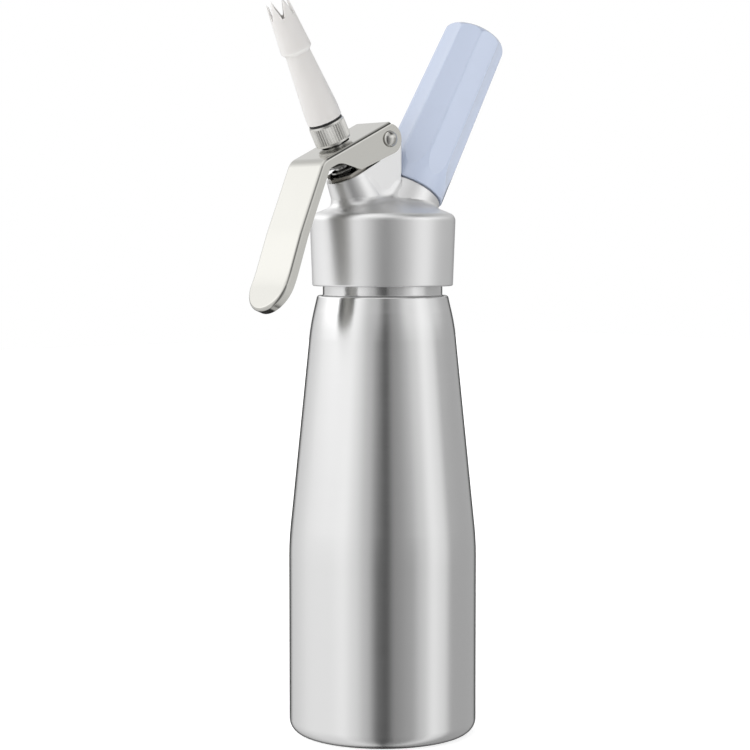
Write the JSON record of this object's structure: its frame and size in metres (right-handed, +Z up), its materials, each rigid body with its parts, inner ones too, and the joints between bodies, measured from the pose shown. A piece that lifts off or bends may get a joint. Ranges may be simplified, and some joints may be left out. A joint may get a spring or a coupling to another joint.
{
  "type": "whipped cream dispenser",
  "caption": "Aluminium whipped cream bottle with a screw-on head, a squeeze lever over a sprung valve, a decorating nozzle and a screwed holder for a gas cartridge.",
  "frame": {"origin": "centre of the bottle's flat foot, on the surface it stands on", "axes": "+Z up the bottle's axis; the lever and nozzle lean towards -X and the charger holder towards +X, in the XZ plane"},
  "size_m": [0.1306, 0.0806, 0.3139],
  "materials": {
    "satin_aluminium_bottle": "drawn aluminium, satin polished round its axis",
    "cast_aluminium_head": "die-cast aluminium, tumbled to a soft shine",
    "pressed_steel_lever": "pressed steel sheet, nickel plated, satin",
    "steel_rivet": "plated steel rivet",
    "turned_stainless": "turned stainless steel",
    "spring_steel": "stainless spring wire",
    "turned_brass": "turned brass",
    "nickel_plated_brass": "turned and knurled brass, nickel plated",
    "black_rubber": "moulded nitrile rubber",
    "grey_silicone": "moulded silicone",
    "white_nozzle_plastic": "moulded acetal, white",
    "blue_holder_plastic": "moulded plastic, light blue, glossy",
    "cast_liner_metal": "turned aluminium liner",
    "charger_steel": "deep drawn steel, zinc plated",
    "white_washer_plastic": "cut plastic washer"
  },
  "bodies": {
    "bottle": {"bottle": "satin_aluminium_bottle"},
    "gasket": {"head_gasket": "grey_silicone"},
    "head": {"head": "cast_aluminium_head", "pivot_pin": "steel_rivet", "valve_guide": "turned_brass", "valve_spring": "spring_steel", "stem_o_ring": "black_rubber", "piercer_body": "turned_brass", "piercing_needle": "turned_stainless", "piercer_o_ring": "black_rubber", "check_valve_sleeve": "black_rubber", "charger_seal": "black_rubber"},
    "lever": {"lever": "pressed_steel_lever"},
    "valve": {"valve_stem": "turned_stainless", "valve_seal": "black_rubber", "seal_nut": "turned_stainless", "nozzle_adapter": "nickel_plated_brass", "adapter_washer": "white_washer_plastic"},
    "nozzle_washer": {"nozzle_seal": "black_rubber"},
    "nozzle": {"nozzle": "white_nozzle_plastic"},
    "charger": {"gas_charger": "charger_steel"},
    "holder": {"holder_shell": "blue_holder_plastic", "holder_core": "cast_liner_metal"}
  },
  "joints": [
    {"name": "head_rise", "type": "slide", "parent": "bottle", "child": "gasket", "axis": [0, 0, 1], "range_m": [0, 0.00905]},
    {"name": "head_unscrew", "type": "hinge", "parent": "gasket", "child": "head", "pos_m": [0, 0, 0.2054], "axis": [0, 0, 1], "range_deg": [0, 1080]},
    {"name": "lever_press", "type": "hinge", "parent": "head", "child": "lever", "pos_m": [-0.0058, 0, 0.2546], "axis": [0, -1, 0], "range_deg": [0, 10], "stiffness_Nm_per_rad": 0.9, "springref_deg": -11.46},
    {"name": "valve_stroke", "type": "slide", "parent": "head", "child": "valve", "axis": [0.4695, 0, -0.8829], "range_m": [0, 0.00336], "deforming": ["valve_spring"]},
    {"name": "nozzle_rise", "type": "slide", "parent": "valve", "child": "nozzle_washer", "axis": [-0.4695, 0, 0.8829], "range_m": [0, 0.00755]},
    {"name": "nozzle_unscrew", "type": "hinge", "parent": "nozzle_washer", "child": "nozzle", "pos_m": [-0.03103, 0, 0.26136], "axis": [-0.4695, 0, 0.8829], "range_deg": [0, 1800]},
    {"name": "holder_rise", "type": "slide", "parent": "head", "child": "charger", "axis": [0.5, 0, 0.866], "range_m": [0, 0.01508]},
    {"name": "holder_unscrew", "type": "hinge", "parent": "charger", "child": "holder", "pos_m": [0.01415, 0, 0.23351], "axis": [0.5, 0, 0.866], "range_deg": [0, 1800]}
  ],
  "couplings": [
    {"joint": "head_rise", "follows": "head_unscrew", "m_per_rad": 0.00047746},
    {"joint": "valve_stroke", "follows": "lever_press", "m_per_rad": 0.019104},
    {"joint": "nozzle_rise", "follows": "nozzle_unscrew", "m_per_rad": 0.00023873},
    {"joint": "holder_rise", "follows": "holder_unscrew", "m_per_rad": 0.00047746}
  ]
}
